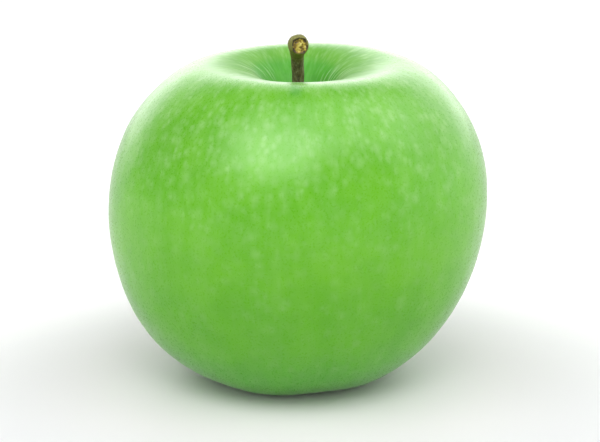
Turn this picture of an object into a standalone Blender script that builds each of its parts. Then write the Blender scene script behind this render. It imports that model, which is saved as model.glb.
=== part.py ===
"""A whole green apple: the fruit, its stem, the five dried sepals and the tuft of stamens.

Metres, +Z up. The apple stands on z = 0, on the small flats of its five base lobes, and the origin
is under the middle of the fruit. -Y is the front, towards which the stem leans.
"""

import math

import bmesh
import bpy
import numpy as np
from mathutils import Vector

MM = 0.001

# Driving dimensions of the fruit
FRUIT_RADIUS = 39.3 * MM
FRUIT_HEIGHT = 67.8 * MM
CREST_RADIUS = 20.5 * MM
CAVITY_DEPTH = 14.5 * MM
BASE_RING_RADIUS = 12.5 * MM
BASIN_DEPTH = 9.0 * MM

# How the fruit departs from a turned shape: lobes that fade out upwards, an oval, a fuller right
# side, a lean, and a crest that is highest behind the stem, on the right
LOBES = 5
FIRST_LOBE = math.radians(-105)
LOBE_SWELL = 0.006
LOBE_FADE_POWER = 1.5
LOBE_DROP = 0.20 * MM
LOBE_DROP_REACH = 8.0 * MM
OVAL = 0.012
RIGHT_SWELL = 0.009
LEAN_RIGHT = 0.04
LEAN_FRONT = 0.02
CREST_HUMP = 0.6 * MM
CREST_HUMP_TURN = math.radians(66)
CREST_HUMP_REACH = 9.0 * MM
CREST_HUMP_POWER = 3

# Mesh fineness of the fruit, and the angle from which an edge is shaded sharp
TURN_STEPS = 60
STEPS_PER_STRETCH = 3
SAME_POINT = 0.001 * MM
SHARP_ANGLE = math.radians(50)

# Clearance that touching pieces keep
GAP = 0.3 * MM

# Stem. Each stop on its route is a shift right and front, a share of the rise, and a share of the
# shaft's radius. The last two stops turn the knob's torn end forwards.
STEM_RISE = 20.4 * MM
STEM_RADIUS = 1.15 * MM
STEM_SOCKET_RADIUS = 1.75 * MM
STEM_SOCKET_DEPTH = 1.5 * MM
STEM_SOCKET_LIP = 0.3 * MM
STEM_SIDES = 20
STEM_ROUTE = (
    (0.0 * MM, 0.0 * MM, 0.00, 1.17),
    (-0.3 * MM, 0.2 * MM, 0.32, 1.00),
    (-0.4 * MM, 0.9 * MM, 0.64, 1.00),
    (-0.5 * MM, 2.4 * MM, 0.88, 1.15),
    (-0.4 * MM, 4.2 * MM, 1.00, 1.87),
    (0.0 * MM, 5.9 * MM, 1.01, 1.68),
)

# Sepals. Each hangs from the basin's floor, pulls in over the stamens and flares at its tip.
SEPAL_COUNT = 5
SEPAL_WIDTH = 3.4 * MM
SEPAL_TIP_WIDTH = 0.24 * MM
SEPAL_LENGTH = 0.40 * BASIN_DEPTH
SEPAL_THICKNESS = 0.5 * MM
SEPAL_FOOT_RADIUS = 3.0 * MM
SEPAL_PULL_IN = 0.8 * MM
SEPAL_FLARE = 1.2 * MM
SEPAL_CUPPING = 0.35 * MM
SEPAL_ROWS = 6
SEPAL_COLUMNS = 4

# Stamens
TUFT_HALF_WIDTH = 1.0 * MM
TUFT_HEIGHT = 1.2 * MM
TUFT_CELLS = 4
FILAMENT_LENGTH = 2.4 * MM
FILAMENT_LENGTH_SPREAD = 0.25
FILAMENT_TAPER = 0.55
FILAMENT_SPLAY = 0.25

# Colours, as linear RGB
SKIN_GREEN = (0.17, 0.50, 0.045, 1.0)
STEM_BROWN = (0.12, 0.10, 0.035, 1.0)
SEPAL_BROWN = (0.14, 0.11, 0.06, 1.0)
STAMEN_BROWN = (0.07, 0.04, 0.02, 1.0)


def clear_scene():
    for obj in list(bpy.data.objects):
        bpy.data.objects.remove(obj, do_unlink=True)


def new_material(name, colour, roughness):
    material = bpy.data.materials.new(name)
    material.use_nodes = True
    shader = material.node_tree.nodes["Principled BSDF"]
    shader.inputs["Base Color"].default_value = colour
    shader.inputs["Roughness"].default_value = roughness
    shader.inputs["Metallic"].default_value = 0.0
    return material


def add_object(name, data, material):
    data.materials.append(material)
    obj = bpy.data.objects.new(name, data)
    bpy.context.scene.collection.objects.link(obj)
    return obj


def mesh_from(bm, name):
    """A smooth-shaded mesh of the body in bm, with its faces turned outwards."""
    bmesh.ops.recalc_face_normals(bm, faces=bm.faces)
    mesh = bpy.data.meshes.new(name)
    bm.to_mesh(mesh)
    bm.free()
    mesh.shade_smooth()
    mesh.set_sharp_from_angle(angle=SHARP_ANGLE)
    return mesh


def spline_through(points, start_slope, end_slope, steps):
    """Points along a cubic spline through points, with the given directions at its two ends."""
    knots = np.array(points)
    chords = np.linalg.norm(np.diff(knots, axis=0), axis=1)
    matrix = np.eye(len(knots))
    slopes = np.zeros_like(knots)
    slopes[0] = start_slope
    slopes[-1] = end_slope
    for i in range(1, len(knots) - 1):
        before = chords[i - 1]
        after = chords[i]
        matrix[i, i - 1] = after
        matrix[i, i] = 2 * (before + after)
        matrix[i, i + 1] = before
        slopes[i] = 3 * (
            after * (knots[i] - knots[i - 1]) / before + before * (knots[i + 1] - knots[i]) / after
        )
    slopes = np.linalg.solve(matrix, slopes)
    curve = []
    for i, chord in enumerate(chords):
        for t in np.arange(steps) / steps:
            curve.append(
                (2 * t**3 - 3 * t**2 + 1) * knots[i]
                + (t**3 - 2 * t**2 + t) * chord * slopes[i]
                + (3 * t**2 - 2 * t**3) * knots[i + 1]
                + (t**3 - t**2) * chord * slopes[i + 1]
            )
    curve.append(knots[-1])
    return np.array(curve)


def fruit_profile():
    """The half outline as (radius, height) pairs, from the stem's socket to the basin's middle."""
    cavity_floor = FRUIT_HEIGHT - CAVITY_DEPTH
    socket_floor = cavity_floor - STEM_SOCKET_DEPTH
    knots = [
        (STEM_SOCKET_RADIUS, cavity_floor + STEM_SOCKET_LIP),
        (0.24 * CREST_RADIUS, cavity_floor + 0.30 * CAVITY_DEPTH),
        (0.40 * CREST_RADIUS, cavity_floor + 0.75 * CAVITY_DEPTH),
        (0.62 * CREST_RADIUS, cavity_floor + 0.90 * CAVITY_DEPTH),
        (CREST_RADIUS, FRUIT_HEIGHT),
        (0.77 * FRUIT_RADIUS, 0.915 * FRUIT_HEIGHT),
        (0.92 * FRUIT_RADIUS, 0.79 * FRUIT_HEIGHT),
        (FRUIT_RADIUS, 0.59 * FRUIT_HEIGHT),
        (0.96 * FRUIT_RADIUS, 0.375 * FRUIT_HEIGHT),
        (0.785 * FRUIT_RADIUS, 0.16 * FRUIT_HEIGHT),
        (0.60 * FRUIT_RADIUS, 0.055 * FRUIT_HEIGHT),
        (BASE_RING_RADIUS, 0.0),
        (0.68 * BASE_RING_RADIUS, 0.22 * BASIN_DEPTH),
        (0.47 * BASE_RING_RADIUS, 0.72 * BASIN_DEPTH),
        (0.26 * BASE_RING_RADIUS, 0.96 * BASIN_DEPTH),
        (0.0, BASIN_DEPTH),
    ]
    outline = spline_through(knots, (0.9, 0.4), (-1.0, 0.0), STEPS_PER_STRETCH)
    socket = [(0.0, socket_floor), (STEM_SOCKET_RADIUS, socket_floor)]
    return socket + [tuple(point) for point in outline]


def grown_shape(point):
    """Where a point of the turned shape goes, once the fruit has grown out of round."""
    angle = math.atan2(point.y, point.x)
    lobing = math.cos(LOBES * (angle - FIRST_LOBE))
    lowness = max(0.0, 1 - point.z / FRUIT_HEIGHT) ** LOBE_FADE_POWER
    radial = 1 + LOBE_SWELL * lowness * lobing + OVAL * math.cos(2 * angle)
    radial += RIGHT_SWELL * max(0.0, math.cos(angle))
    near_base = math.exp(-((point.z / LOBE_DROP_REACH) ** 2))
    off_axis = min(1.0, math.hypot(point.x, point.y) / BASE_RING_RADIUS)
    above_middle = point.z - FRUIT_HEIGHT / 2
    hump = max(0.0, math.cos(angle - CREST_HUMP_TURN)) ** CREST_HUMP_POWER
    hump *= math.exp(-(((FRUIT_HEIGHT - point.z) / CREST_HUMP_REACH) ** 2))
    hump *= min(1.0, math.hypot(point.x, point.y) / CREST_RADIUS)
    return Vector(
        (
            point.x * radial + LEAN_RIGHT * above_middle,
            point.y * radial - LEAN_FRONT * above_middle,
            point.z - LOBE_DROP * near_base * lobing * off_axis + CREST_HUMP * hump,
        )
    )


def cut_flats(bm):
    """Cuts the base lobes at z = 0 and closes each cut with a flat face."""
    everything = list(bm.verts) + list(bm.edges) + list(bm.faces)
    bmesh.ops.bisect_plane(
        bm, geom=everything, plane_co=(0, 0, 0), plane_no=(0, 0, -1), clear_outer=True
    )
    rims = [edge for edge in bm.edges if edge.is_boundary]
    bmesh.ops.holes_fill(bm, edges=rims, sides=0)


def add_fruit():
    bm = bmesh.new()
    profile = [bm.verts.new((radius, 0, height)) for radius, height in fruit_profile()]
    edges = [bm.edges.new(pair) for pair in zip(profile, profile[1:])]
    bmesh.ops.spin(
        bm,
        geom=profile + edges,
        cent=(0, 0, 0),
        axis=(0, 0, 1),
        angle=math.tau,
        steps=TURN_STEPS,
        use_merge=True,
    )
    bmesh.ops.remove_doubles(bm, verts=bm.verts, dist=SAME_POINT)
    for vert in bm.verts:
        vert.co = grown_shape(vert.co)
    cut_flats(bm)
    material = new_material("apple_skin", SKIN_GREEN, 0.35)
    return add_object("fruit", mesh_from(bm, "fruit"), material)


def add_stem():
    """A stalk that rises from its socket and ends in a thick knob, whose torn face looks forwards."""
    foot_height = FRUIT_HEIGHT - CAVITY_DEPTH - STEM_SOCKET_DEPTH + GAP
    foot = grown_shape(Vector((0, 0, foot_height)))
    curve = bpy.data.curves.new("stem", "CURVE")
    curve.dimensions = "3D"
    curve.bevel_depth = STEM_RADIUS
    curve.bevel_resolution = STEM_SIDES // 4 - 1
    curve.use_fill_caps = True
    curve.resolution_u = 4
    spline = curve.splines.new("BEZIER")
    spline.bezier_points.add(len(STEM_ROUTE) - 1)
    spline.radius_interpolation = "EASE"
    for knot, (right, front, share, radius) in zip(spline.bezier_points, STEM_ROUTE):
        knot.co = foot + Vector((right, -front, share * STEM_RISE))
        knot.radius = radius
        knot.handle_left_type = "AUTO"
        knot.handle_right_type = "AUTO"
    return add_object("stem", curve, new_material("stem_bark", STEM_BROWN, 0.8))


def sepal_blade(along, across):
    """A point of a sepal's middle surface: along from foot to tip, across from -1 to 1."""
    foot_height = 0.96 * BASIN_DEPTH - 2 * GAP
    half_width = 0.5 * (SEPAL_WIDTH * (1 - along**1.6) + SEPAL_TIP_WIDTH)
    pull_in = SEPAL_PULL_IN * math.sin(0.75 * math.pi * along)
    outwards = SEPAL_FOOT_RADIUS - pull_in + SEPAL_FLARE * along**3
    cup = SEPAL_CUPPING * (1 - across**2)
    return Vector((outwards + cup, across * half_width, foot_height - SEPAL_LENGTH * along))


def add_sepal(number, material):
    """One dried calyx leaf."""
    bm = bmesh.new()
    rows = []
    for row in range(SEPAL_ROWS + 1):
        along = row / SEPAL_ROWS
        columns = [2 * column / SEPAL_COLUMNS - 1 for column in range(SEPAL_COLUMNS + 1)]
        rows.append([bm.verts.new(sepal_blade(along, across)) for across in columns])
    for upper, lower in zip(rows, rows[1:]):
        for i in range(SEPAL_COLUMNS):
            bm.faces.new((upper[i], lower[i], lower[i + 1], upper[i + 1]))
    name = f"sepal_{number}"
    sepal = add_object(name, mesh_from(bm, name), material)
    solidify = sepal.modifiers.new("thickness", "SOLIDIFY")
    solidify.thickness = SEPAL_THICKNESS
    solidify.offset = 0.0
    middle = grown_shape(Vector((0, 0, BASIN_DEPTH)))
    sepal.location = (middle.x, middle.y, 0)
    sepal.rotation_euler.z = FIRST_LOBE + (number - 1) * math.tau / SEPAL_COUNT
    return sepal


def add_stamens():
    """The dried tuft: a short stub with a bundle of tapering filaments, in one body."""
    bm = bmesh.new()
    bmesh.ops.create_grid(
        bm, x_segments=TUFT_CELLS, y_segments=TUFT_CELLS, size=TUFT_HALF_WIDTH
    )
    stub = bmesh.ops.extrude_face_region(bm, geom=list(bm.faces))
    upper = [item for item in stub["geom"] if isinstance(item, bmesh.types.BMVert)]
    bmesh.ops.translate(bm, verts=upper, vec=(0, 0, TUFT_HEIGHT))
    bmesh.ops.recalc_face_normals(bm, faces=bm.faces)
    ends = [face for face in bm.faces if face.normal.z < -0.9]
    filaments = bmesh.ops.extrude_discrete_faces(bm, faces=ends)["faces"]
    for number, face in enumerate(filaments):
        centre = face.calc_center_median()
        splay = Vector((centre.x, centre.y, 0)) * FILAMENT_SPLAY
        length = FILAMENT_LENGTH * (1 + FILAMENT_LENGTH_SPREAD * (math.cos(2.3 * number) - 1))
        for vert in face.verts:
            vert.co = centre + (vert.co - centre) * FILAMENT_TAPER + splay
            vert.co.z -= length
    material = new_material("stamen_brown", STAMEN_BROWN, 0.9)
    stamens = add_object("stamens", mesh_from(bm, "stamens"), material)
    middle = grown_shape(Vector((0, 0, BASIN_DEPTH)))
    stamens.location = (middle.x, middle.y, BASIN_DEPTH - GAP - TUFT_HEIGHT)
    return stamens


def main():
    clear_scene()
    add_fruit()
    add_stem()
    sepal_material = new_material("sepal_brown", SEPAL_BROWN, 0.85)
    for number in range(1, SEPAL_COUNT + 1):
        add_sepal(number, sepal_material)
    add_stamens()


main()
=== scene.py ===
import math

import bpy
import numpy as np
from mathutils import Matrix, Vector, noise
from mathutils.bvhtree import BVHTree


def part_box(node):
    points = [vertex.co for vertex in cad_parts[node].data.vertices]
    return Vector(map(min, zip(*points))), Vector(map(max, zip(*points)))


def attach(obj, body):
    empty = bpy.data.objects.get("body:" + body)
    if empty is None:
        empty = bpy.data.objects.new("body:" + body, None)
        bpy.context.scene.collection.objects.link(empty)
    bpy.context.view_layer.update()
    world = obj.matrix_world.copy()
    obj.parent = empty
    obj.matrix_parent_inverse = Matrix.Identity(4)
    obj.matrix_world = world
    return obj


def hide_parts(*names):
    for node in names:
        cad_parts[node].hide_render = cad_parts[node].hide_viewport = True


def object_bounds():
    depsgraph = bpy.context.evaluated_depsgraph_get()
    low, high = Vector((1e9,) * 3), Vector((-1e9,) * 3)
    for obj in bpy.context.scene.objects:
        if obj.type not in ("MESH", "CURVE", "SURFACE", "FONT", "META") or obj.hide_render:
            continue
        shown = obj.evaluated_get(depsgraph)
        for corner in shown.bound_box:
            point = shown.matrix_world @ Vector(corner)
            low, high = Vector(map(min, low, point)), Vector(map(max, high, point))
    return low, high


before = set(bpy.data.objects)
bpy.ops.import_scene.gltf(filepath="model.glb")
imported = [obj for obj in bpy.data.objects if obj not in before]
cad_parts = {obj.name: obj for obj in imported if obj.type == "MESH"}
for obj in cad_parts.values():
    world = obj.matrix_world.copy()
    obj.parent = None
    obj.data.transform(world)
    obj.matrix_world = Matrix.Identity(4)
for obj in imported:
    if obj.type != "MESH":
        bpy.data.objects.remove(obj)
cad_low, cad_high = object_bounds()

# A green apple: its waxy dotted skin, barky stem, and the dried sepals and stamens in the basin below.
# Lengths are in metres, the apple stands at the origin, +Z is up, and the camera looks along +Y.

MM = 0.001

fruit_low, fruit_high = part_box("fruit")
stem_low, stem_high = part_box("stem")
FRUIT_HEIGHT = fruit_high.z
FRUIT_RADIUS = (fruit_high.x - fruit_low.x) / 2

# Camera and studio
CAMERA_DISTANCE = 0.55
CAMERA_ELEVATION = math.radians(15.5)
CAMERA_AIM = Vector((0.75 * MM, 0, 0.45 * cad_high.z))
VIEW_WIDTH = 1.5855 * (cad_high.x - cad_low.x)
SENSOR_WIDTH = 36.0
FLOOR_RADIUS = 3.0
FLOOR_SIDES = 96
PANEL_DISTANCE = 1.0
# Shades of the white room: where, from -1 to 1 across it, each starts and stops to change, and its radiance
# before and after. The gloss mirrors GLOSS_ROOM, which changes from the camera's side to behind the apple.
# The diffuse light is the sum of the other three: FILL_ROOM changes the same way, FILL_SIDES from the
# middle to either side wall, and FILL_OVERHEAD dims the ceiling.
GLOSS_ROOM = (0.48, 0.95, 0.25, 3.2)
FILL_ROOM = (-0.6, 0.6, 0.64, 0.44)
FILL_SIDES = (0.3, 0.9, 0.0, 0.68)
FILL_OVERHEAD = (0.4, 0.9, 0.0, -0.22)
BACKDROP_RADIANCE = 1.05
# Name, azimuth, elevation, width and height in degrees, radiance, and whether it lights the gloss
PANELS = (
    ("window", -22, 47, 42, 38, 4.2, True),
    ("ceiling", 30, 72, 100, 50, 2.6, True),
    ("right_wall", 100, 22, 70, 50, 1.3, True),
    ("key_left", -32, 57, 62, 28, 1.85, False),
    ("key_right", 36, 57, 62, 28, 1.85, False),
)

# Skin mesh: rings from the calyx up to the stem, and columns round the fruit
ROWS = 260
COLUMNS = 320
# How finely the mean outline is measured, up it and round the fruit
PROFILE_STEPS = 900
PROFILE_TURNS = 24
# How far the CAD's facets are blurred away, and how near the stem's socket the cavity floor is closed
ROW_BLUR = 1.4 * MM
COLUMN_BLUR = math.radians(2.5)
SOCKET_CLEAR = 3.0 * MM


# ---------------------------------------------------------------- mesh helpers

def eased(value, start, end):
    """0 up to start, 1 from end on, and a smooth rise between; end may be the smaller."""
    share = np.clip((value - start) / (end - start), 0, 1)
    return share * share * (3 - 2 * share)


def waves(points, size, seed):
    """Smooth noise of about -1 to 1 at each point, its bumps about size apart."""
    shift = Vector((seed * 7.31, seed * 3.17, seed * 5.93))
    flat = np.asarray(points).reshape(-1, 3) / size
    return np.array([noise.noise(Vector(p) + shift) for p in flat]).reshape(np.shape(points)[:-1])


def shell_faces(rows, columns):
    """Faces that close rows rings of points, with a point at each end, as one shell facing out."""
    last = rows * columns + 1
    faces = []
    for column in range(columns):
        beside = (column + 1) % columns
        faces.append((0, 1 + beside, 1 + column))
        for row in range(rows - 1):
            here = 1 + row * columns
            above = here + columns
            faces.append((here + column, here + beside, above + beside, above + column))
        top = 1 + (rows - 1) * columns
        faces.append((last, top + column, top + beside))
    return faces


def shell_points(rings):
    """The points for shell_faces: the first ring's middle, the rings, and the last ring's middle."""
    return np.vstack([rings[0].mean(0), rings.reshape(-1, 3), rings[-1].mean(0)])


def new_piece(name, points, faces, material):
    """A smooth mesh object on the model's root body."""
    mesh = bpy.data.meshes.new(name)
    mesh.from_pydata([tuple(p) for p in points], [], faces)
    mesh.validate()
    mesh.shade_smooth()
    mesh.materials.append(material)
    piece = bpy.data.objects.new(name, mesh)
    bpy.context.scene.collection.objects.link(piece)
    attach(piece, "root")
    return piece


def store(piece, name, values, kind="FLOAT"):
    """Keeps one value, or one vector, for each point of a piece, for its material to read."""
    field = "vector" if kind == "FLOAT_VECTOR" else "value"
    attribute = piece.data.attributes.new(name, kind, "POINT")
    attribute.data.foreach_set(field, np.asarray(values, np.float32).ravel())


def ring_normals(rings):
    """The outward direction at each point of a grid of rings."""
    around = np.roll(rings, -1, axis=1) - np.roll(rings, 1, axis=1)
    along = np.gradient(rings, axis=0)
    normals = np.cross(around, along)
    return normals / np.linalg.norm(normals, axis=2, keepdims=True)


# ---------------------------------------------------------------- material helper

class Shader:
    """A material being wired up. Each method adds one node and returns its output socket."""

    def __init__(self, name):
        self.material = bpy.data.materials.new(name)
        self.material.use_nodes = True
        self.tree = self.material.node_tree
        self.surface = self.tree.nodes["Principled BSDF"]

    def feed(self, socket, value):
        if isinstance(value, bpy.types.NodeSocket):
            self.tree.links.new(value, socket)
        else:
            socket.default_value = value

    def add(self, kind, settings, inputs, output=0):
        node = self.tree.nodes.new("ShaderNode" + kind)
        for name, value in settings.items():
            setattr(node, name, value)
        for place, value in inputs.items():
            self.feed(node.inputs[place], value)
        return node.outputs[output]

    def set(self, **values):
        for name, value in values.items():
            self.feed(self.surface.inputs[name.replace("_", " ")], value)

    def stored(self, name, output="Vector"):
        return self.add("Attribute", {"attribute_name": name}, {}, output)

    def place(self):
        return self.add("TexCoord", {}, {}, "Object")

    def place_mm(self):
        return self.scaled(self.place(), (1 / MM, 1 / MM, 1 / MM))

    def scaled(self, vector, scale, shift=(0, 0, 0)):
        return self.add("Mapping", {}, {"Vector": vector, "Scale": scale, "Location": shift})

    def part(self, vector, axis):
        return self.add("SeparateXYZ", {}, {0: vector}, axis)

    def noise(self, vector, scale, detail=2.0, roughness=0.5, output="Fac"):
        inputs = {"Vector": vector, "Scale": scale, "Detail": detail, "Roughness": roughness}
        return self.add("TexNoise", {}, inputs, output)

    def cells(self, vector):
        """How far each place is from the nearest of many scattered points, about one to a unit cube."""
        return self.add("TexVoronoi", {}, {"Vector": vector, "Scale": 1.0}, "Distance")

    def remap(self, value, start, end, low=0.0, high=1.0):
        inputs = {0: value, 1: start, 2: end, 3: low, 4: high}
        return self.add("MapRange", {"interpolation_type": "SMOOTHSTEP"}, inputs)

    def maths(self, operation, first, second=0.0):
        return self.add("Math", {"operation": operation}, {0: first, 1: second})

    def mix(self, share, first, second, blend="MIX"):
        inputs = {0: share, 6: first, 7: second}
        return self.add("Mix", {"data_type": "RGBA", "blend_type": blend}, inputs, 2)

    def moved(self, vector, amount):
        return self.add("VectorMath", {"operation": "ADD"}, {0: vector, 1: amount})

    def ramp(self, value, stops):
        node = self.tree.nodes.new("ShaderNodeValToRGB")
        node.color_ramp.interpolation = "EASE"
        for index, (place, colour) in enumerate(stops):
            stop = node.color_ramp.elements[index] if index < 2 else node.color_ramp.elements.new(place)
            stop.position = place
            stop.color = (*colour, 1)
        self.feed(node.inputs[0], value)
        return node.outputs[0]

    def bump(self, height, strength, distance):
        inputs = {"Height": height, "Strength": strength, "Distance": distance}
        return self.add("Bump", {}, inputs)


# ---------------------------------------------------------------- materials

# Greens up a meridian, from the middle of the basin (0) to the foot of the stem (1): partly the skin's own
# green, partly painted shade that darkens it towards the basin; it is also darker in the stem cavity
SKIN_GREENS_AND_SHADE = (
    (0.00, (0.050, 0.200, 0.004)),
    (0.22, (0.072, 0.360, 0.003)),
    (0.34, (0.104, 0.400, 0.005)),
    (0.48, (0.132, 0.445, 0.009)),
    (0.58, (0.132, 0.455, 0.012)),
    (0.66, (0.130, 0.438, 0.014)),
    (0.78, (0.139, 0.460, 0.016)),
    (0.85, (0.118, 0.390, 0.012)),
    (0.96, (0.070, 0.250, 0.006)),
)
HOLLOW_GREEN = (0.054, 0.345, 0.002, 1)
PALE_GREEN = (0.40, 0.66, 0.28, 1)
PATCH_TINT = (0.84, 0.92, 0.75, 1)
# How far up the meridian the crest is, and the stem's painted shadow, a small dark patch on its front lip
CREST_SHARE = 0.79
STEM_SHADOW_SHARE = 0.77
# Layers of pale dots all over the skin: spacing, radius and softness in mm, a seed, and strength
DOTS = (
    (1.5, 0.28, 0.22, 0, 0.08),
    (2.6, 0.50, 0.40, 11, 0.11),
    (3.6, 0.95, 0.80, 23, 0.20),
)
DASH_STRENGTH = 0.10
# Two layers of blotches, which the upper half shows most, partly as painted sheen: spacing, radius and
# softness in mm, and a seed
BLOTCHES = (
    (1.9, 0.58, 0.52, 31),
    (2.9, 0.90, 0.80, 47),
)
BLOTCH_STRENGTH = 0.25
RAY_STRENGTH = 0.60
STREAK_STRENGTH = 0.06


def skin_dots(shader, place, spacing, radius, softness, seed):
    """Soft round dots scattered over the skin, with lengths in mm."""
    scale = 1 / spacing
    cells = shader.cells(shader.scaled(place, (scale, scale, scale), (seed, 2 * seed, 3 * seed)))
    return shader.remap(cells, (radius + softness) * scale, (radius - softness) * scale)


def dots_and_dashes(shader, place, share):
    """Pale dots and dashes along the meridians, in loose clusters."""
    dashes = shader.remap(shader.cells(shader.scaled(place, (0.55, 0.55, 0.20))), 0.34, 0.06)
    marks = shader.maths("MULTIPLY", dashes, DASH_STRENGTH)
    for *dots, strength in DOTS:
        layer = shader.maths("MULTIPLY", skin_dots(shader, place, *dots), strength)
        marks = shader.maths("ADD", marks, layer)
    clusters = shader.remap(shader.noise(place, 0.12, 2.0), 0.35, 0.65, 0.35, 1.0)
    high = shader.remap(share, 0.25, 0.68, 0.60, 1.0)
    return shader.maths("MULTIPLY", shader.maths("MULTIPLY", marks, clusters), high)


def blotches(shader, place, share):
    """Cloudy pale blotches, a little taller than wide: the skin's own mottling, made stronger up the fruit
    as a painted sheen.
    """
    tall = shader.scaled(place, (1, 1, 0.80))
    clouds = shader.maths("MAXIMUM", *[skin_dots(shader, tall, *layer) for layer in BLOTCHES])
    drift = shader.remap(shader.noise(place, 0.16, 3.0, 0.6), 0.36, 0.60, 0.35, 1.0)
    # Up the fruit the blotches grow stronger: partly the skin's own mottling, partly painted sheen
    upper_mottling_and_sheen = shader.remap(share, 0.42, 0.72, 0.16, 1.2)
    clouds = shader.maths("MULTIPLY", shader.maths("MULTIPLY", clouds, drift), upper_mottling_and_sheen)
    return shader.maths("MULTIPLY", clouds, BLOTCH_STRENGTH)


def cavity_rays(shader, place, share):
    """Pale streaks that run down into the stem cavity, mostly on its left and right walls."""
    hollow = shader.maths("MULTIPLY", shader.remap(share, 0.83, 0.87), shader.remap(share, 0.95, 0.90))
    sides = shader.remap(shader.maths("ABSOLUTE", shader.part(place, 0)), 16.0, 34.0, 0.06, 1.0)
    rays = shader.remap(shader.noise(shader.scaled(place, (0.50, 0.50, 0.10)), 1.0, 3.0, 0.6), 0.48, 0.66)
    rays = shader.maths("MULTIPLY", rays, shader.maths("MULTIPLY", hollow, sides))
    return shader.maths("MULTIPLY", rays, RAY_STRENGTH)


def pale_marks(shader, place, share):
    """How pale the skin is at each point. The dots and blotches fade inside the stem cavity."""
    marks = shader.maths("ADD", dots_and_dashes(shader, place, share), blotches(shader, place, share))
    marks = shader.maths("MULTIPLY", marks, shader.remap(share, 0.82, 0.88, 1.0, 0.15))
    return shader.maths("ADD", marks, cavity_rays(shader, place, share))


def skin_green_and_shade(shader, place, share):
    """The skin's green with painted shade: darker towards the basin, deeper in the cavity, with a painted
    shadow of the stem on the front lip, and patches.
    """
    green = shader.ramp(share, SKIN_GREENS_AND_SHADE)
    back = shader.maths("MULTIPLY", shader.part(place, 1), 0.035 / (FRUIT_RADIUS / MM))
    hollow = shader.remap(shader.maths("ADD", share, back), 0.872, 0.900)
    green = shader.mix(hollow, green, HOLLOW_GREEN)
    # Painted shadow of the stem: a small dark patch on the front lip just below it
    stem_shadow = shader.remap(shader.maths("ABSOLUTE", shader.part(place, 0)), 3.2, 0.6)
    stem_shadow = shader.maths("MULTIPLY", stem_shadow, shader.remap(shader.part(place, 1), 0.0, -30.0))
    from_lip = shader.maths("ABSOLUTE", shader.maths("SUBTRACT", share, STEM_SHADOW_SHARE))
    stem_shadow = shader.maths("MULTIPLY", stem_shadow, shader.remap(from_lip, 0.026, 0.006, 0.0, 0.8))
    green = shader.mix(stem_shadow, green, HOLLOW_GREEN)
    patches = shader.remap(shader.noise(place, 0.09, 3.0, 0.6), 0.35, 0.65)
    return shader.mix(patches, green, shader.mix(1.0, green, PATCH_TINT, "MULTIPLY"))


def skin_material(arc_length):
    """Waxy skin: its green, faint streaks and pale marks, glossy outside and dull in the stem cavity."""
    shader = Shader("apple_skin")
    place = shader.stored("skin_place")
    share = shader.maths("DIVIDE", shader.part(place, 2), arc_length / MM)
    wobble = shader.noise(place, 0.9, 1.0, output="Color")
    place = shader.moved(place, shader.scaled(wobble, (0.5, 0.5, 0.5)))

    streaks = shader.noise(shader.scaled(place, (0.45, 0.45, 0.05)), 1.0, 3.0, 0.6)
    streaks = shader.maths("MULTIPLY", shader.remap(streaks, 0.35, 0.70), STREAK_STRENGTH)
    green = shader.mix(streaks, skin_green_and_shade(shader, place, share), PALE_GREEN)
    marks = pale_marks(shader, place, share)
    colour = shader.mix(marks, green, PALE_GREEN)

    grain = shader.noise(place, 2.2, 3.0)
    roughness = shader.remap(grain, 0.2, 0.8, 0.25, 0.34)
    roughness = shader.maths("ADD", roughness, shader.remap(share, CREST_SHARE, 0.86, 0.0, 0.35))
    height = shader.maths("ADD", marks, shader.noise(place, 0.8, 1.0))
    shader.set(Base_Color=colour, Roughness=roughness, IOR=1.4, Sheen_Weight=0.22, Sheen_Roughness=0.3,
               Normal=shader.bump(height, 0.20, 0.06 * MM))
    return shader.material


def bark_material():
    """Rough stem bark, with the fibrous torn wood of its end where the stored "torn" share is 1."""
    shader = Shader("stem_bark")
    place = shader.place_mm()
    torn = shader.stored("torn", "Fac")
    long_grain = shader.noise(shader.scaled(place, (2.6, 2.6, 0.5)), 1.0, 4.0, 0.6)
    flecks = shader.noise(place, 2.5, 3.0, 0.6)
    bark = shader.ramp(long_grain, (
        (0.30, (0.035, 0.032, 0.008)),
        (0.50, (0.110, 0.088, 0.022)),
        (0.68, (0.230, 0.225, 0.095)),
    ))
    bark = shader.mix(shader.remap(flecks, 0.45, 0.75), bark, (0.17, 0.18, 0.09, 1))
    knob = shader.remap(shader.stored("rise", "Fac"), 0.72, 0.86)
    bark = shader.mix(knob, bark, shader.mix(0.6, bark, (0.21, 0.21, 0.012, 1)))
    fibres = shader.noise(place, 2.6, 4.0, 0.7)
    wood = shader.ramp(shader.mix(0.45, shader.stored("height", "Fac"), fibres), (
        (0.30, (0.035, 0.020, 0.004)),
        (0.44, (0.220, 0.140, 0.010)),
        (0.56, (0.480, 0.370, 0.030)),
        (0.72, (0.800, 0.680, 0.250)),
    ))
    colour = shader.mix(torn, bark, wood)
    height = shader.maths("ADD", long_grain, shader.maths("MULTIPLY", flecks, 0.6))
    shader.set(Base_Color=colour, Roughness=shader.remap(flecks, 0.3, 0.7, 0.55, 0.80),
               Normal=shader.bump(height, 0.7, 0.12 * MM))
    return shader.material


def dry_material(name, dark, light):
    """Dry withered tissue, from a dark and a light brown."""
    shader = Shader(name)
    place = shader.place_mm()
    veins = shader.noise(shader.scaled(place, (2.4, 2.4, 0.7)), 1.0, 4.0, 0.6)
    specks = shader.noise(place, 5.0, 2.0)
    colour = shader.ramp(veins, ((0.3, dark), (0.7, light)))
    colour = shader.mix(shader.remap(specks, 0.55, 0.75, 0.0, 0.6), colour, (0.30, 0.24, 0.13, 1))
    shader.set(Base_Color=colour, Roughness=shader.remap(specks, 0.3, 0.7, 0.70, 0.92),
               Normal=shader.bump(veins, 0.6, 0.1 * MM))
    return shader.material


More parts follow.
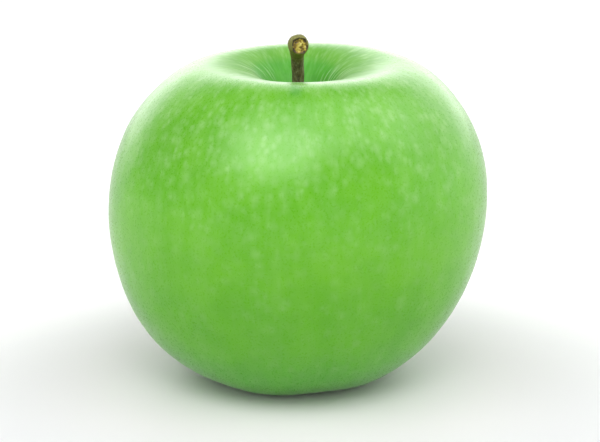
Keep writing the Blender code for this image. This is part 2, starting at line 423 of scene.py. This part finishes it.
def floor_material():
    """A matt white table top, very slightly uneven, with light and shade painted on: lighter close round the
    apple, a little darker farther out, and brighter and glowing away from the apple and behind it.
    """
    shader = Shader("floor")
    clouds = shader.noise(shader.place(), 3.0, 2.0)
    # A little less green than white: painted to cancel the green light the apple throws on the table
    colour = shader.ramp(clouds, ((0.0, (0.89, 0.85, 0.89)), (1.0, (0.91, 0.87, 0.91))))
    distance = shader.add("VectorMath", {"operation": "LENGTH"}, {0: shader.place()}, "Value")
    # Painted light and shade: lighter within 4 cm of the apple, which lifts its shadow, and a little darker
    # from 7 cm out
    colour = shader.mix(shader.remap(distance, 0.04, 0.07), colour, (0.85, 0.84, 0.87, 1))
    # Painted light: brighter and glowing away from the apple and behind it, as a lit sweep would be
    behind = shader.maths("MULTIPLY", shader.part(shader.place(), 1), 0.6)
    far_painted_light = shader.remap(shader.maths("ADD", distance, behind), 0.036, 0.115)
    colour = shader.mix(far_painted_light, colour, (0.96, 0.96, 0.96, 1))
    shader.set(Base_Color=colour, Roughness=shader.remap(clouds, 0.0, 1.0, 0.55, 0.60),
               Specular_IOR_Level=0.2, Emission_Color=(1, 1, 1, 1),
               Emission_Strength=shader.maths("MULTIPLY", far_painted_light, 0.14))
    return shader.material


# ---------------------------------------------------------------- fruit

# Soft swells all over the skin: height, width and seed
SWELLS = (
    (0.16 * MM, 17 * MM, 1),
    (0.05 * MM, 6 * MM, 2),
)
RIB_HEIGHT = 0.16 * MM
BACK_WALL_SINK = 1.5 * MM
SIDE_WALL_RISE = 0.6 * MM
PUCKER_HEIGHT = 0.20 * MM
# The flat spot: how much is worn off the lowest points, how high up that reaches, and its soft edge
FLAT_WEAR = 0.12 * MM
FLAT_REACH = 3 * MM
FLAT_EDGE = 0.1 * MM


def skin_distance(tree, centre, down, turn):
    """How far the CAD skin is from centre, at the angle down from straight down and turn round +Z."""
    way = Vector((math.sin(down) * math.cos(turn), math.sin(down) * math.sin(turn), -math.cos(down)))
    return tree.ray_cast(centre, way)[3]


def cast_grid(tree, centre, downs, turns):
    """The distance of the CAD skin at each of those angles."""
    return np.array([[skin_distance(tree, centre, down, turn) for turn in turns] for down in downs])


def grid_points(centre, reach, downs, turns):
    """The points of a grid of distances."""
    down, turn = np.meshgrid(downs, turns, indexing="ij")
    ways = np.stack([np.sin(down) * np.cos(turn), np.sin(down) * np.sin(turn), -np.cos(down)], axis=2)
    return np.array(centre) + reach[..., None] * ways


def blur_weights(reach):
    """Bell-shaped weights for a blur that reaches that many steps."""
    steps = np.arange(-math.ceil(3 * reach), math.ceil(3 * reach) + 1)
    weights = np.exp(-0.5 * (steps / reach) ** 2)
    return steps, weights / weights.sum()


def blurred(grid, row_reach, column_reach):
    """The grid blurred up and round the fruit. Past a pole its rows go on down the far side."""
    steps, weights = blur_weights(row_reach)
    spare = len(steps) // 2
    far_side = np.roll(grid, COLUMNS // 2, axis=1)
    tall = np.vstack([far_side[:spare][::-1], grid, far_side[-spare:][::-1]])
    grid = sum(weight * tall[spare + step:spare + step + ROWS] for step, weight in zip(steps, weights))
    steps, weights = blur_weights(column_reach)
    return sum(weight * np.roll(grid, step, axis=1) for step, weight in zip(steps, weights))


def even_rows(tree, centre):
    """The rows' angles, an even distance apart along the mean outline, and that outline's length."""
    downs = np.linspace(0.001, math.pi - 0.001, PROFILE_STEPS)
    turns = np.linspace(0, 2 * math.pi, PROFILE_TURNS, endpoint=False)
    reach = cast_grid(tree, centre, downs, turns).mean(axis=1)
    outline = np.stack([reach * np.sin(downs), -reach * np.cos(downs)], axis=1)
    lengths = np.concatenate([[0], np.cumsum(np.linalg.norm(np.diff(outline, axis=0), axis=1))])
    places = (np.arange(ROWS) + 0.5) / ROWS * lengths[-1]
    return np.interp(places, lengths, downs), lengths[-1]


def without_socket(rings):
    """The rings with the stem's socket filled level with the cavity floor round it."""
    radii = np.linalg.norm(rings[..., :2], axis=2).mean(axis=1)
    first = np.flatnonzero(radii[ROWS // 2:] < SOCKET_CLEAR)[0] + ROWS // 2
    level = rings[first - 1, :, 2]
    inward = (radii[first:] / radii[first - 1])[:, None]
    rings[first:, :, :2] = rings[first - 1, :, :2][None] * inward[..., None]
    rings[first:, :, 2] = level.mean() + (level[None] - level.mean()) * inward
    return rings


def skin_relief(rings, turns, arcs, arc_length):
    """How far each point of the skin stands out: swells, ribs in the cavity, and puckers in the basin."""
    share = arcs[:, None] / arc_length + 0 * turns[None]
    crest = arcs[np.argmax(rings[..., 2].mean(axis=1))] / arc_length
    foot = arcs[np.argmin(rings[..., 2].mean(axis=1))] / arc_length
    relief = sum(height * waves(rings, size, seed) for height, size, seed in SWELLS)
    circle = np.stack([np.cos(turns), np.sin(turns)], axis=1)
    spread = np.concatenate([np.broadcast_to(circle, (ROWS, COLUMNS, 2)), 9 * share[..., None]], axis=2)
    in_cavity = eased(share, crest, crest + 0.05) * eased(share, 1.0, 0.96)
    relief = relief + in_cavity * RIB_HEIGHT * waves(spread * (3.2, 3.2, 0.35), 1.0, 3)
    back = np.clip(np.sin(turns), 0, 1)[None] ** 1.5
    on_wall = eased(share, crest + 0.02, crest + 0.09) * eased(share, 0.985, 0.90)
    relief = relief - BACK_WALL_SINK * back * on_wall
    sides = np.cos(turns)[None] ** 2
    on_shoulder = eased(share, crest, crest + 0.06) * eased(share, 0.92, 0.87)
    relief = relief + SIDE_WALL_RISE * sides * on_shoulder
    in_basin = eased(share, foot * 0.95, foot * 0.45) * eased(share, 0.0, 0.03)
    puckers = np.cos(5 * turns + 1.2)[None] + 1.3 * waves(spread * (2.6, 2.6, 0.3), 1.0, 4)
    return relief + in_basin * PUCKER_HEIGHT * puckers


def settled(rings):
    """The rings stood on the floor, with the lowest points worn to a small flat spot."""
    heights = rings[..., 2]
    lift = heights.min() + FLAT_WEAR
    heights = heights - lift * np.exp(-(heights / FLAT_REACH) ** 2)
    rings[..., 2] = (heights + np.sqrt(heights ** 2 + FLAT_EDGE ** 2)) / 2
    rings[..., 2] -= rings[..., 2].min()
    return rings


def bake_map(piece, arcs, arc_length):
    """A UV map that unrolls the skin: once round is its width, and calyx to stem its height."""
    heights = np.concatenate([[0], np.repeat(arcs / arc_length, COLUMNS), [1]])
    layer = piece.data.uv_layers.new(name="OFBake")
    for face in piece.data.polygons:
        columns = [(v - 1) % COLUMNS for v in face.vertices if 0 < v < ROWS * COLUMNS + 1]
        seam = max(columns) - min(columns) > 1
        middle = (COLUMNS - 0.5 if seam else sum(columns) / len(columns)) / COLUMNS
        for loop, v in zip(face.loop_indices, face.vertices):
            column = (v - 1) % COLUMNS
            across = 1.0 if seam and column == 0 else column / COLUMNS
            is_end = v in (0, ROWS * COLUMNS + 1)
            layer.data[loop].uv = (middle if is_end else across, heights[v])


def make_fruit():
    """The whole skin as one closed mesh, laid over the CAD fruit and smoothed."""
    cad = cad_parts["fruit"].data
    tree = BVHTree.FromPolygons([v.co for v in cad.vertices], [p.vertices for p in cad.polygons])
    centre = Vector((0, 0, FRUIT_HEIGHT / 2))
    downs, arc_length = even_rows(tree, centre)
    arcs = (np.arange(ROWS) + 0.5) / ROWS * arc_length
    turns = np.linspace(0, 2 * math.pi, COLUMNS, endpoint=False)
    reach = cast_grid(tree, centre, downs, turns)
    rings = without_socket(grid_points(centre, reach, downs, turns))
    row_reach = ROW_BLUR / (arc_length / ROWS)
    column_reach = COLUMN_BLUR / (2 * math.pi / COLUMNS)
    for axis in range(3):
        rings[..., axis] = blurred(rings[..., axis], row_reach, column_reach)
    rings = rings + ring_normals(rings) * skin_relief(rings, turns, arcs, arc_length)[..., None]
    rings = settled(rings)

    fruit = new_piece("apple_fruit", shell_points(rings), shell_faces(ROWS, COLUMNS),
                      skin_material(arc_length))
    # Where each point is on the skin as if it were a tube of the fruit's radius, in mm: its patterns' place
    unrolled = np.empty((ROWS, COLUMNS, 3))
    unrolled[..., 0] = FRUIT_RADIUS / MM * np.cos(turns)
    unrolled[..., 1] = FRUIT_RADIUS / MM * np.sin(turns)
    unrolled[..., 2] = (arcs / MM)[:, None]
    calyx_end = [0, 0, 0]
    stem_end = [0, 0, arc_length / MM]
    store(fruit, "skin_place", np.vstack([calyx_end, unrolled.reshape(-1, 3), stem_end]), "FLOAT_VECTOR")
    bake_map(fruit, arcs, arc_length)
    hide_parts("fruit")


# ---------------------------------------------------------------- stem

STEM_SHAFT = 1.25 * MM
STEM_RINGS = 120
STEM_SIDES = 72
# Where the stem passes, from its foot: right, towards the front, and shares of its rise and shaft radius
STEM_ROUTE = (
    (0.0 * MM, 0.0 * MM, 0.00, 1.60),
    (-0.1 * MM, 0.1 * MM, 0.08, 1.18),
    (-0.3 * MM, 0.2 * MM, 0.32, 1.00),
    (-0.4 * MM, 0.9 * MM, 0.64, 1.00),
    (-0.5 * MM, 2.4 * MM, 0.88, 1.15),
    (-0.4 * MM, 4.2 * MM, 1.00, 1.66),
    (0.0 * MM, 5.9 * MM, 1.01, 1.58),
)
STEM_RISE = 0.90 * (stem_high.z - stem_low.z)
# Steps from one knot of a route to the next while its curve is worked out
KNOT_STEPS = 40
# Heights of the bark's ridges and lumps
STEM_RIDGES = 0.07 * MM
STEM_LUMPS = 0.07 * MM
KNOB_LUMPS = 0.10 * MM
# The torn face: its rings, how far its rim stands up and then falls in, and the depth of its pits
FACE_RINGS = 26
RIM_RISE = 0.30 * MM
RIM_FALL = 0.22 * MM
PIT_DEPTH = 0.30 * MM


def smooth_route(knots, count):
    """Evenly spaced places on a Catmull-Rom curve through the knots."""
    knots = np.array(knots)
    ends = np.vstack([2 * knots[0] - knots[1], knots, 2 * knots[-1] - knots[-2]])
    places = []
    for index in range(len(knots) - 1):
        before, start, end, after = ends[index:index + 4]
        for t in np.linspace(0, 1, KNOT_STEPS, endpoint=False):
            places.append(0.5 * (2 * start + (end - before) * t
                                 + (2 * before - 5 * start + 4 * end - after) * t * t
                                 + (3 * start - before - 3 * end + after) * t ** 3))
    places = np.array(places + [knots[-1]])
    steps = np.linalg.norm(np.diff(places[:, :3], axis=0), axis=1)
    lengths = np.concatenate([[0], np.cumsum(steps)])
    even = np.linspace(0, lengths[-1], count)
    return np.stack([np.interp(even, lengths, places[:, k]) for k in range(places.shape[1])], axis=1)


def tube_frames(route):
    """At each place on the route, its direction and two directions across it that don't twist."""
    along = np.gradient(route, axis=0)
    along /= np.linalg.norm(along, axis=1, keepdims=True)
    side = np.array([1.0, 0.0, 0.0])
    sides = []
    for direction in along:
        side = side - direction * side.dot(direction)
        side = side / np.linalg.norm(side)
        sides.append(side)
    sides = np.array(sides)
    return along, sides, np.cross(along, sides)


def tube_rings(route, radii, sides_count):
    """Rings of points round a route, counter-clockwise seen from its far end."""
    along, first, second = tube_frames(route)
    turns = np.linspace(0, 2 * math.pi, sides_count, endpoint=False)
    ring = first[:, None] * np.cos(turns)[None, :, None] + second[:, None] * np.sin(turns)[None, :, None]
    return route[:, None] + ring * radii[:, None, None], along


def make_stem():
    """The stem: ridged bark up to a thick knob, and the torn face where it left the twig."""
    cad = np.array([v.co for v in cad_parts["stem"].data.vertices])
    foot = cad[cad[:, 2] < stem_low.z + 0.3 * MM].mean(axis=0)
    knots = [(foot[0] + right, foot[1] - front, foot[2] + rise * STEM_RISE, share * STEM_SHAFT)
             for right, front, rise, share in STEM_ROUTE]
    line = smooth_route(knots, STEM_RINGS)
    rings, along = tube_rings(line[:, :3], line[:, 3], STEM_SIDES)
    middles = line[:, None, :3]
    ridges = waves((rings - middles) * (1, 1, 0.25) + middles * (0, 0, 0.25), 0.75 * MM, 5)
    lumps = waves(rings, 1.6 * MM, 6)
    share = np.linspace(0, 1, STEM_RINGS)
    knob = eased(share, 0.70, 0.85)[:, None]
    relief = STEM_RIDGES * ridges + (STEM_LUMPS + KNOB_LUMPS * knob) * lumps
    rings = rings + ring_normals(rings) * relief[..., None]

    face_steps = np.linspace(0.96, 0.04, FACE_RINGS)
    middle = rings[-1].mean(axis=0)
    faces = middle + (rings[-1] - middle)[None] * face_steps[:, None, None]
    pits = waves(faces, 0.85 * MM, 7) + 0.7 * waves(faces, 0.40 * MM, 8)
    rim = RIM_RISE * eased(face_steps, 1.0, 0.86) - RIM_FALL * eased(face_steps, 0.84, 0.60)
    inside = eased(face_steps, 0.90, 0.70)[:, None]
    faces = faces + along[-1] * (rim[:, None] + PIT_DEPTH * inside * pits)[..., None]
    rings = np.concatenate([rings, faces])

    shell = shell_faces(len(rings), STEM_SIDES)
    stem = new_piece("apple_stem", shell_points(rings), shell, bark_material())
    torn = eased(face_steps[:, None] + 0.10 * pits, 0.90, 0.80)
    bark_part = np.zeros(STEM_RINGS * STEM_SIDES)
    store(stem, "torn", np.concatenate([[0], bark_part, torn.ravel(), [1]]))
    heights = 0.5 + 0.5 * pits - 0.45 * eased(face_steps, 0.62, 0.84)[:, None]
    store(stem, "height", np.concatenate([[0], bark_part, heights.ravel(), [0.5]]))
    rise = np.repeat(np.concatenate([share, np.ones(len(face_steps))]), STEM_SIDES)
    store(stem, "rise", np.concatenate([[0], rise, [1]]))
    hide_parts("stem")


# ---------------------------------------------------------------- calyx

SEPALS = [f"sepal_{number}" for number in range(1, 6)]
SEPAL_RINGS = 36
SEPAL_SIDES = 28


def make_sepal(node, centre, material):
    """One dried sepal: a pointed leaf that leans in over the stamens and curls out at its tip.

    It is worked out in mm, as how far each point is outward from the calyx's middle and across the leaf.
    """
    low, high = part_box(node)
    out = ((low + high) / 2 - centre).to_2d().normalized()
    turn = math.atan2(out.y, out.x)
    length = high.z - low.z
    share = np.linspace(0, 1, SEPAL_RINGS)
    lean = 3.0 - 1.1 * np.sin(share * math.pi * 0.75) + 0.9 * share ** 3
    half_width = 1.7 * (1 - share ** 1.6) ** 0.9 + 0.10
    thickness = 0.16 - 0.06 * share
    turns = np.linspace(0, 2 * math.pi, SEPAL_SIDES, endpoint=False)
    across = half_width[:, None] * np.cos(turns)
    crinkle = 0.16 * np.sin(share[:, None] * 11 + across * 2.1 + turn * 3) * share[:, None]
    cupping = -0.16 * across ** 2
    outward = lean[:, None] + thickness[:, None] * np.sin(turns) + cupping + crinkle
    rib = 0.10 * np.exp(-(across / 0.22) ** 2) * np.sign(np.sin(turns))
    outward = outward + rib * (1 - share[:, None])
    down = high.z - length * share[:, None] + 0 * turns
    spin = Matrix.Rotation(turn, 3, "Z")
    rings = np.stack([outward * MM, across * MM, 0 * across], axis=2) @ np.array(spin).T
    rings[..., 0] += centre.x
    rings[..., 1] += centre.y
    rings[..., 2] = down
    piece = new_piece(node.replace("sepal", "sepal_leaf"), shell_points(rings),
                      shell_faces(SEPAL_RINGS, SEPAL_SIDES), material)
    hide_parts(node)


def make_sepals():
    """The five sepals, round the middle of their CAD solids."""
    material = dry_material("dried_sepal", (0.055, 0.040, 0.018), (0.200, 0.160, 0.085))
    corners = [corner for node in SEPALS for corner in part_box(node)]
    centre = sum(corners, Vector()) / len(corners)
    for node in SEPALS:
        make_sepal(node, centre, material)


FILAMENTS = 20
FILAMENT_RINGS = 22
FILAMENT_SIDES = 10
FILAMENT_TURN = math.radians(137.5)
TUFT_RADIUS = 1.0 * MM
# The anther at a filament's end: shares of its length, and radii
ANTHER = ((0.85, 0.08 * MM), (0.94, 0.20 * MM), (1.0, 0.08 * MM))


def filament_knots(number, low, high):
    """The places and radii that one filament passes, from the basin's roof down to its anther."""
    centre = (low + high) / 2
    turn = number * FILAMENT_TURN
    spread = TUFT_RADIUS * math.sqrt((number + 0.5) / FILAMENTS)
    right = spread * math.cos(turn)
    back = spread * math.sin(turn)
    length = (high.z - low.z) * (0.75 + 0.22 * math.cos(number * 2.4))
    bend = 0.30 * MM * math.sin(number * 1.7)
    knots = [
        (centre.x + right, centre.y + back, high.z, 0.10 * MM),
        (centre.x + right + bend, centre.y + back, high.z - 0.45 * length, 0.07 * MM),
    ]
    for share, radius in ANTHER:
        knots.append((centre.x + 0.8 * right, centre.y + 0.8 * back + bend, high.z - share * length, radius))
    return knots


def make_stamens():
    """A tuft of withered filaments, each with its anther, spaced evenly in a spiral."""
    points = []
    faces = []
    shell = shell_faces(FILAMENT_RINGS, FILAMENT_SIDES)
    for number in range(FILAMENTS):
        line = smooth_route(filament_knots(number, *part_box("stamens")), FILAMENT_RINGS)
        rings, _ = tube_rings(line[:, :3], line[:, 3], FILAMENT_SIDES)
        start = len(points)
        points.extend(shell_points(rings))
        faces.extend(tuple(start + v for v in face) for face in shell)
    material = dry_material("dried_stamens", (0.030, 0.017, 0.008), (0.110, 0.070, 0.035))
    stamens = new_piece("stamen_tuft", points, faces, material)
    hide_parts("stamens")


# ---------------------------------------------------------------- studio

def make_camera():
    """The camera in front of the apple, a little above it, framing VIEW_WIDTH at its aim."""
    data = bpy.data.cameras.new("camera")
    data.sensor_width = SENSOR_WIDTH
    data.lens = SENSOR_WIDTH * CAMERA_DISTANCE / VIEW_WIDTH
    data.clip_start = 0.01
    data.clip_end = 20
    camera = bpy.data.objects.new("camera", data)
    bpy.context.scene.collection.objects.link(camera)
    back = Vector((0, -math.cos(CAMERA_ELEVATION), math.sin(CAMERA_ELEVATION)))
    camera.location = CAMERA_AIM + back * CAMERA_DISTANCE
    camera.rotation_euler = (-back).to_track_quat("-Z", "Y").to_euler()
    bpy.context.scene.camera = camera


def make_panel(name, azimuth, elevation, width, height, radiance, for_gloss):
    """A soft panel of light round the apple, width and height in degrees as seen from it.

    Azimuth 0 is the camera's side and 90 the right. A panel lights either the gloss or the body colour.
    """
    data = bpy.data.lights.new(name, "AREA")
    data.shape = "RECTANGLE"
    data.size = 2 * PANEL_DISTANCE * math.tan(math.radians(width) / 2)
    data.size_y = 2 * PANEL_DISTANCE * math.tan(math.radians(height) / 2)
    data.energy = radiance * math.pi * data.size * data.size_y
    panel = bpy.data.objects.new(name, data)
    bpy.context.scene.collection.objects.link(panel)
    a = math.radians(azimuth)
    e = math.radians(elevation)
    way = Vector((math.sin(a) * math.cos(e), -math.cos(a) * math.cos(e), math.sin(e)))
    panel.location = Vector((0, 0, FRUIT_HEIGHT / 2)) + way * PANEL_DISTANCE
    panel.rotation_euler = way.to_track_quat("Z", "Y").to_euler()
    panel.visible_camera = False
    panel.visible_diffuse = not for_gloss
    panel.visible_glossy = for_gloss


def room_shade(tree, across, start, end, near_radiance, far_radiance):
    """A radiance that changes smoothly across the room, from start to end."""
    shade = tree.nodes.new("ShaderNodeMapRange")
    shade.interpolation_type = "SMOOTHSTEP"
    shade.inputs["From Min"].default_value = start
    shade.inputs["From Max"].default_value = end
    shade.inputs["To Min"].default_value = near_radiance
    shade.inputs["To Max"].default_value = far_radiance
    tree.links.new(across, shade.inputs["Value"])
    return shade.outputs["Result"]


def room_maths(tree, operation, *values):
    """A Math node of the world, fed by one or two values."""
    node = tree.nodes.new("ShaderNodeMath")
    node.operation = operation
    for socket, value in zip(node.inputs, values):
        tree.links.new(value, socket)
    return node.outputs[0]


def room_choice(tree, share, first, second):
    """The first value where share is 0, and the second, which may be a plain number, where it is 1."""
    node = tree.nodes.new("ShaderNodeMix")
    tree.links.new(share, node.inputs["Factor"])
    tree.links.new(first, node.inputs["A"])
    if isinstance(second, bpy.types.NodeSocket):
        tree.links.new(second, node.inputs["B"])
    else:
        node.inputs["B"].default_value = second
    return node.outputs["Result"]


def make_world():
    """A white room: one shade for the gloss, another for the diffuse light, and white for the camera."""
    world = bpy.data.worlds.new("white_room")
    world.use_nodes = True
    # Its light is found by the surfaces' own rays only, because they alone say which kind they are
    world.cycles.sampling_method = "NONE"
    tree = world.node_tree
    tree.nodes.clear()
    direction = tree.nodes.new("ShaderNodeTexCoord")
    parts = tree.nodes.new("ShaderNodeSeparateXYZ")
    tree.links.new(direction.outputs["Generated"], parts.inputs[0])
    fill = room_shade(tree, parts.outputs["Y"], *FILL_ROOM)
    sides = room_shade(tree, room_maths(tree, "ABSOLUTE", parts.outputs["X"]), *FILL_SIDES)
    overhead = room_shade(tree, parts.outputs["Z"], *FILL_OVERHEAD)
    for extra in (sides, overhead):
        fill = room_maths(tree, "ADD", fill, extra)
    rays = tree.nodes.new("ShaderNodeLightPath")
    mirrored = room_shade(tree, parts.outputs["Y"], *GLOSS_ROOM)
    light = room_choice(tree, rays.outputs["Is Diffuse Ray"], mirrored, fill)
    radiance = room_choice(tree, rays.outputs["Is Camera Ray"], light, BACKDROP_RADIANCE)
    background = tree.nodes.new("ShaderNodeBackground")
    background.inputs["Color"].default_value = (1, 1, 1, 1)
    tree.links.new(radiance, background.inputs["Strength"])
    output = tree.nodes.new("ShaderNodeOutputWorld")
    tree.links.new(background.outputs["Background"], output.inputs["Surface"])
    bpy.context.scene.world = world


def make_floor():
    """The round table top, which isn't part of the apple."""
    turns = np.linspace(0, 2 * math.pi, FLOOR_SIDES, endpoint=False)
    points = np.stack([FLOOR_RADIUS * np.cos(turns), FLOOR_RADIUS * np.sin(turns), 0 * turns], axis=1)
    mesh = bpy.data.meshes.new("floor")
    mesh.from_pydata([tuple(p) for p in points], [], [tuple(range(len(points)))])
    mesh.materials.append(floor_material())
    floor = bpy.data.objects.new("floor", mesh)
    bpy.context.scene.collection.objects.link(floor)


make_camera()
make_world()
for panel in PANELS:
    make_panel(*panel)
make_floor()
make_fruit()
make_stem()
make_sepals()
make_stamens()
bpy.context.scene.view_settings.view_transform = "Standard"
